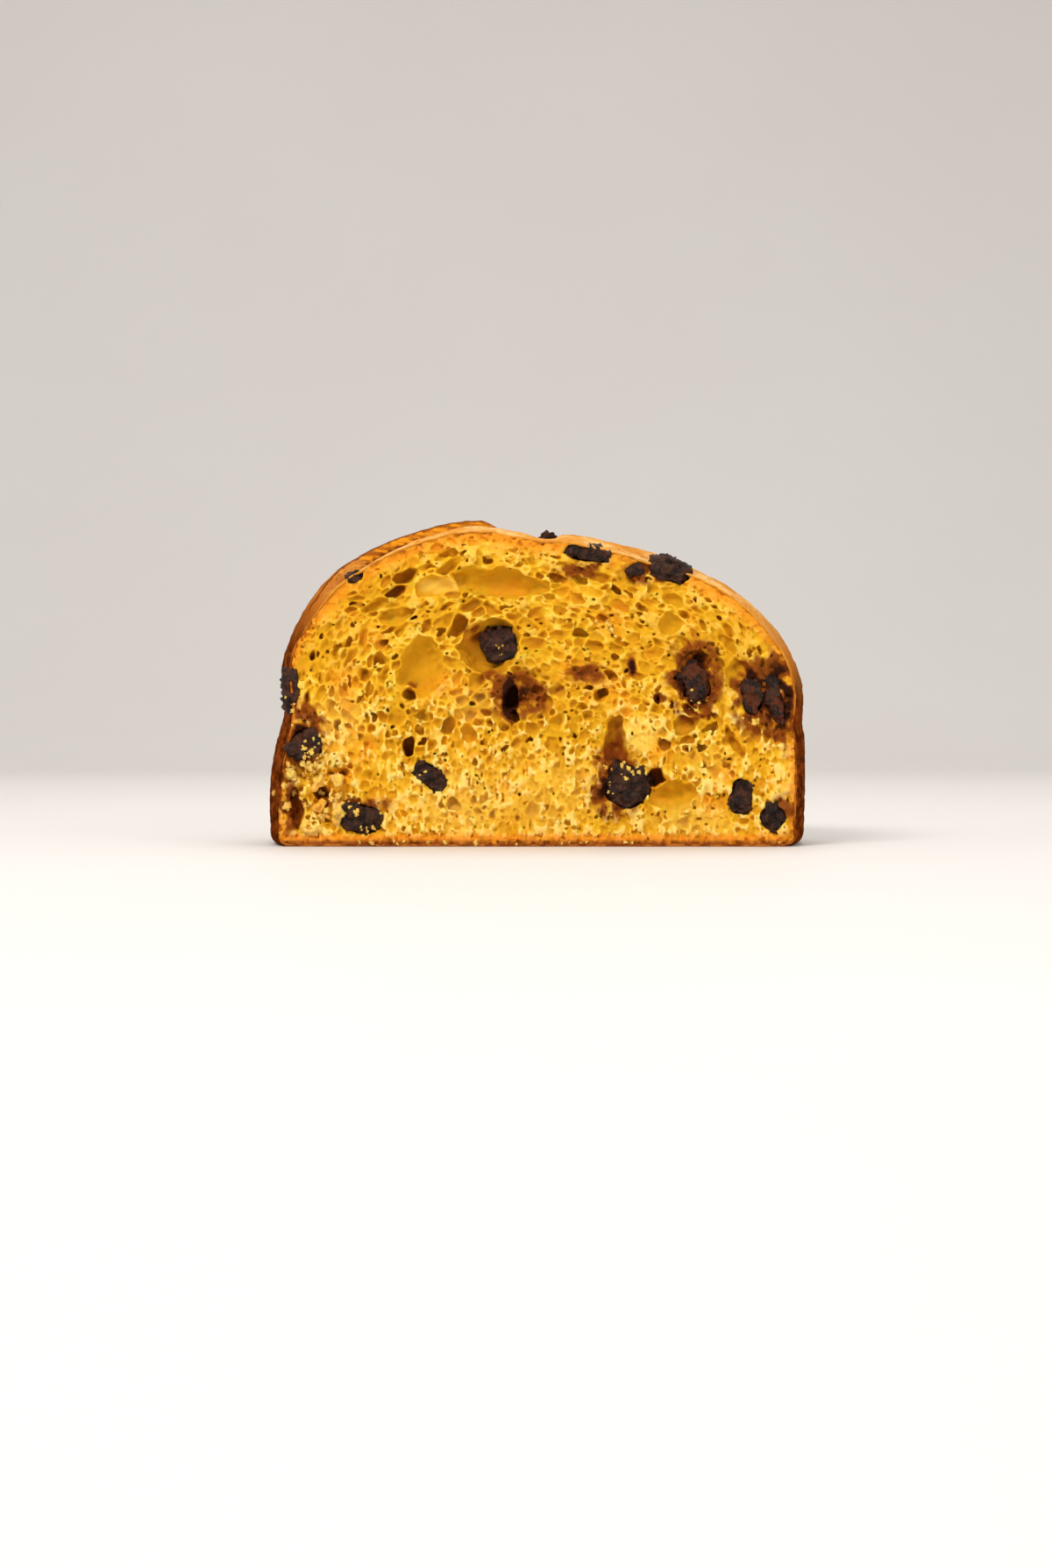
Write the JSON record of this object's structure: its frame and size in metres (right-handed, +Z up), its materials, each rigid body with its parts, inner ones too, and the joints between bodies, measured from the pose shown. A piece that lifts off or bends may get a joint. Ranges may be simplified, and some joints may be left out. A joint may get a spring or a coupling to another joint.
{
  "type": "panettone",
  "caption": "Tall round sweet loaf cut just in front of its middle, with an open yellow crumb and dark chocolate chunks, standing on its flat base.",
  "frame": {"origin": "middle of the underside of the whole part's box, on the plane that it stands on", "axes": "+X to the right along the cut face, +Y from the cut face into the loaf, +Z up"},
  "size_m": [0.2182, 0.1457, 0.1313],
  "materials": {
    "baked_crust": "matte, uneven",
    "dark_chocolate": "satin, craggy"
  },
  "bodies": {
    "root": {"loaf": "baked_crust", "chocolate_crown": "dark_chocolate", "chocolate_shoulder": "dark_chocolate", "chocolate_shoulder_chip": "dark_chocolate", "chocolate_left_top": "dark_chocolate", "chocolate_left_wall": "dark_chocolate", "chocolate_left_low": "dark_chocolate", "chocolate_arch": "dark_chocolate", "chocolate_mid_low": "dark_chocolate", "chocolate_base_left": "dark_chocolate", "chocolate_core": "dark_chocolate", "chocolate_right_high": "dark_chocolate", "chocolate_right_inner": "dark_chocolate", "chocolate_right_outer": "dark_chocolate", "chocolate_right_low": "dark_chocolate", "chocolate_right_corner": "dark_chocolate", "chocolate_back_high": "dark_chocolate", "chocolate_back_mid": "dark_chocolate", "chocolate_back_wall": "dark_chocolate", "chocolate_right_back": "dark_chocolate", "chocolate_right_wall": "dark_chocolate", "chocolate_left_back": "dark_chocolate", "chocolate_left_side": "dark_chocolate", "chocolate_flake": "dark_chocolate"}
  },
  "joints": []
}
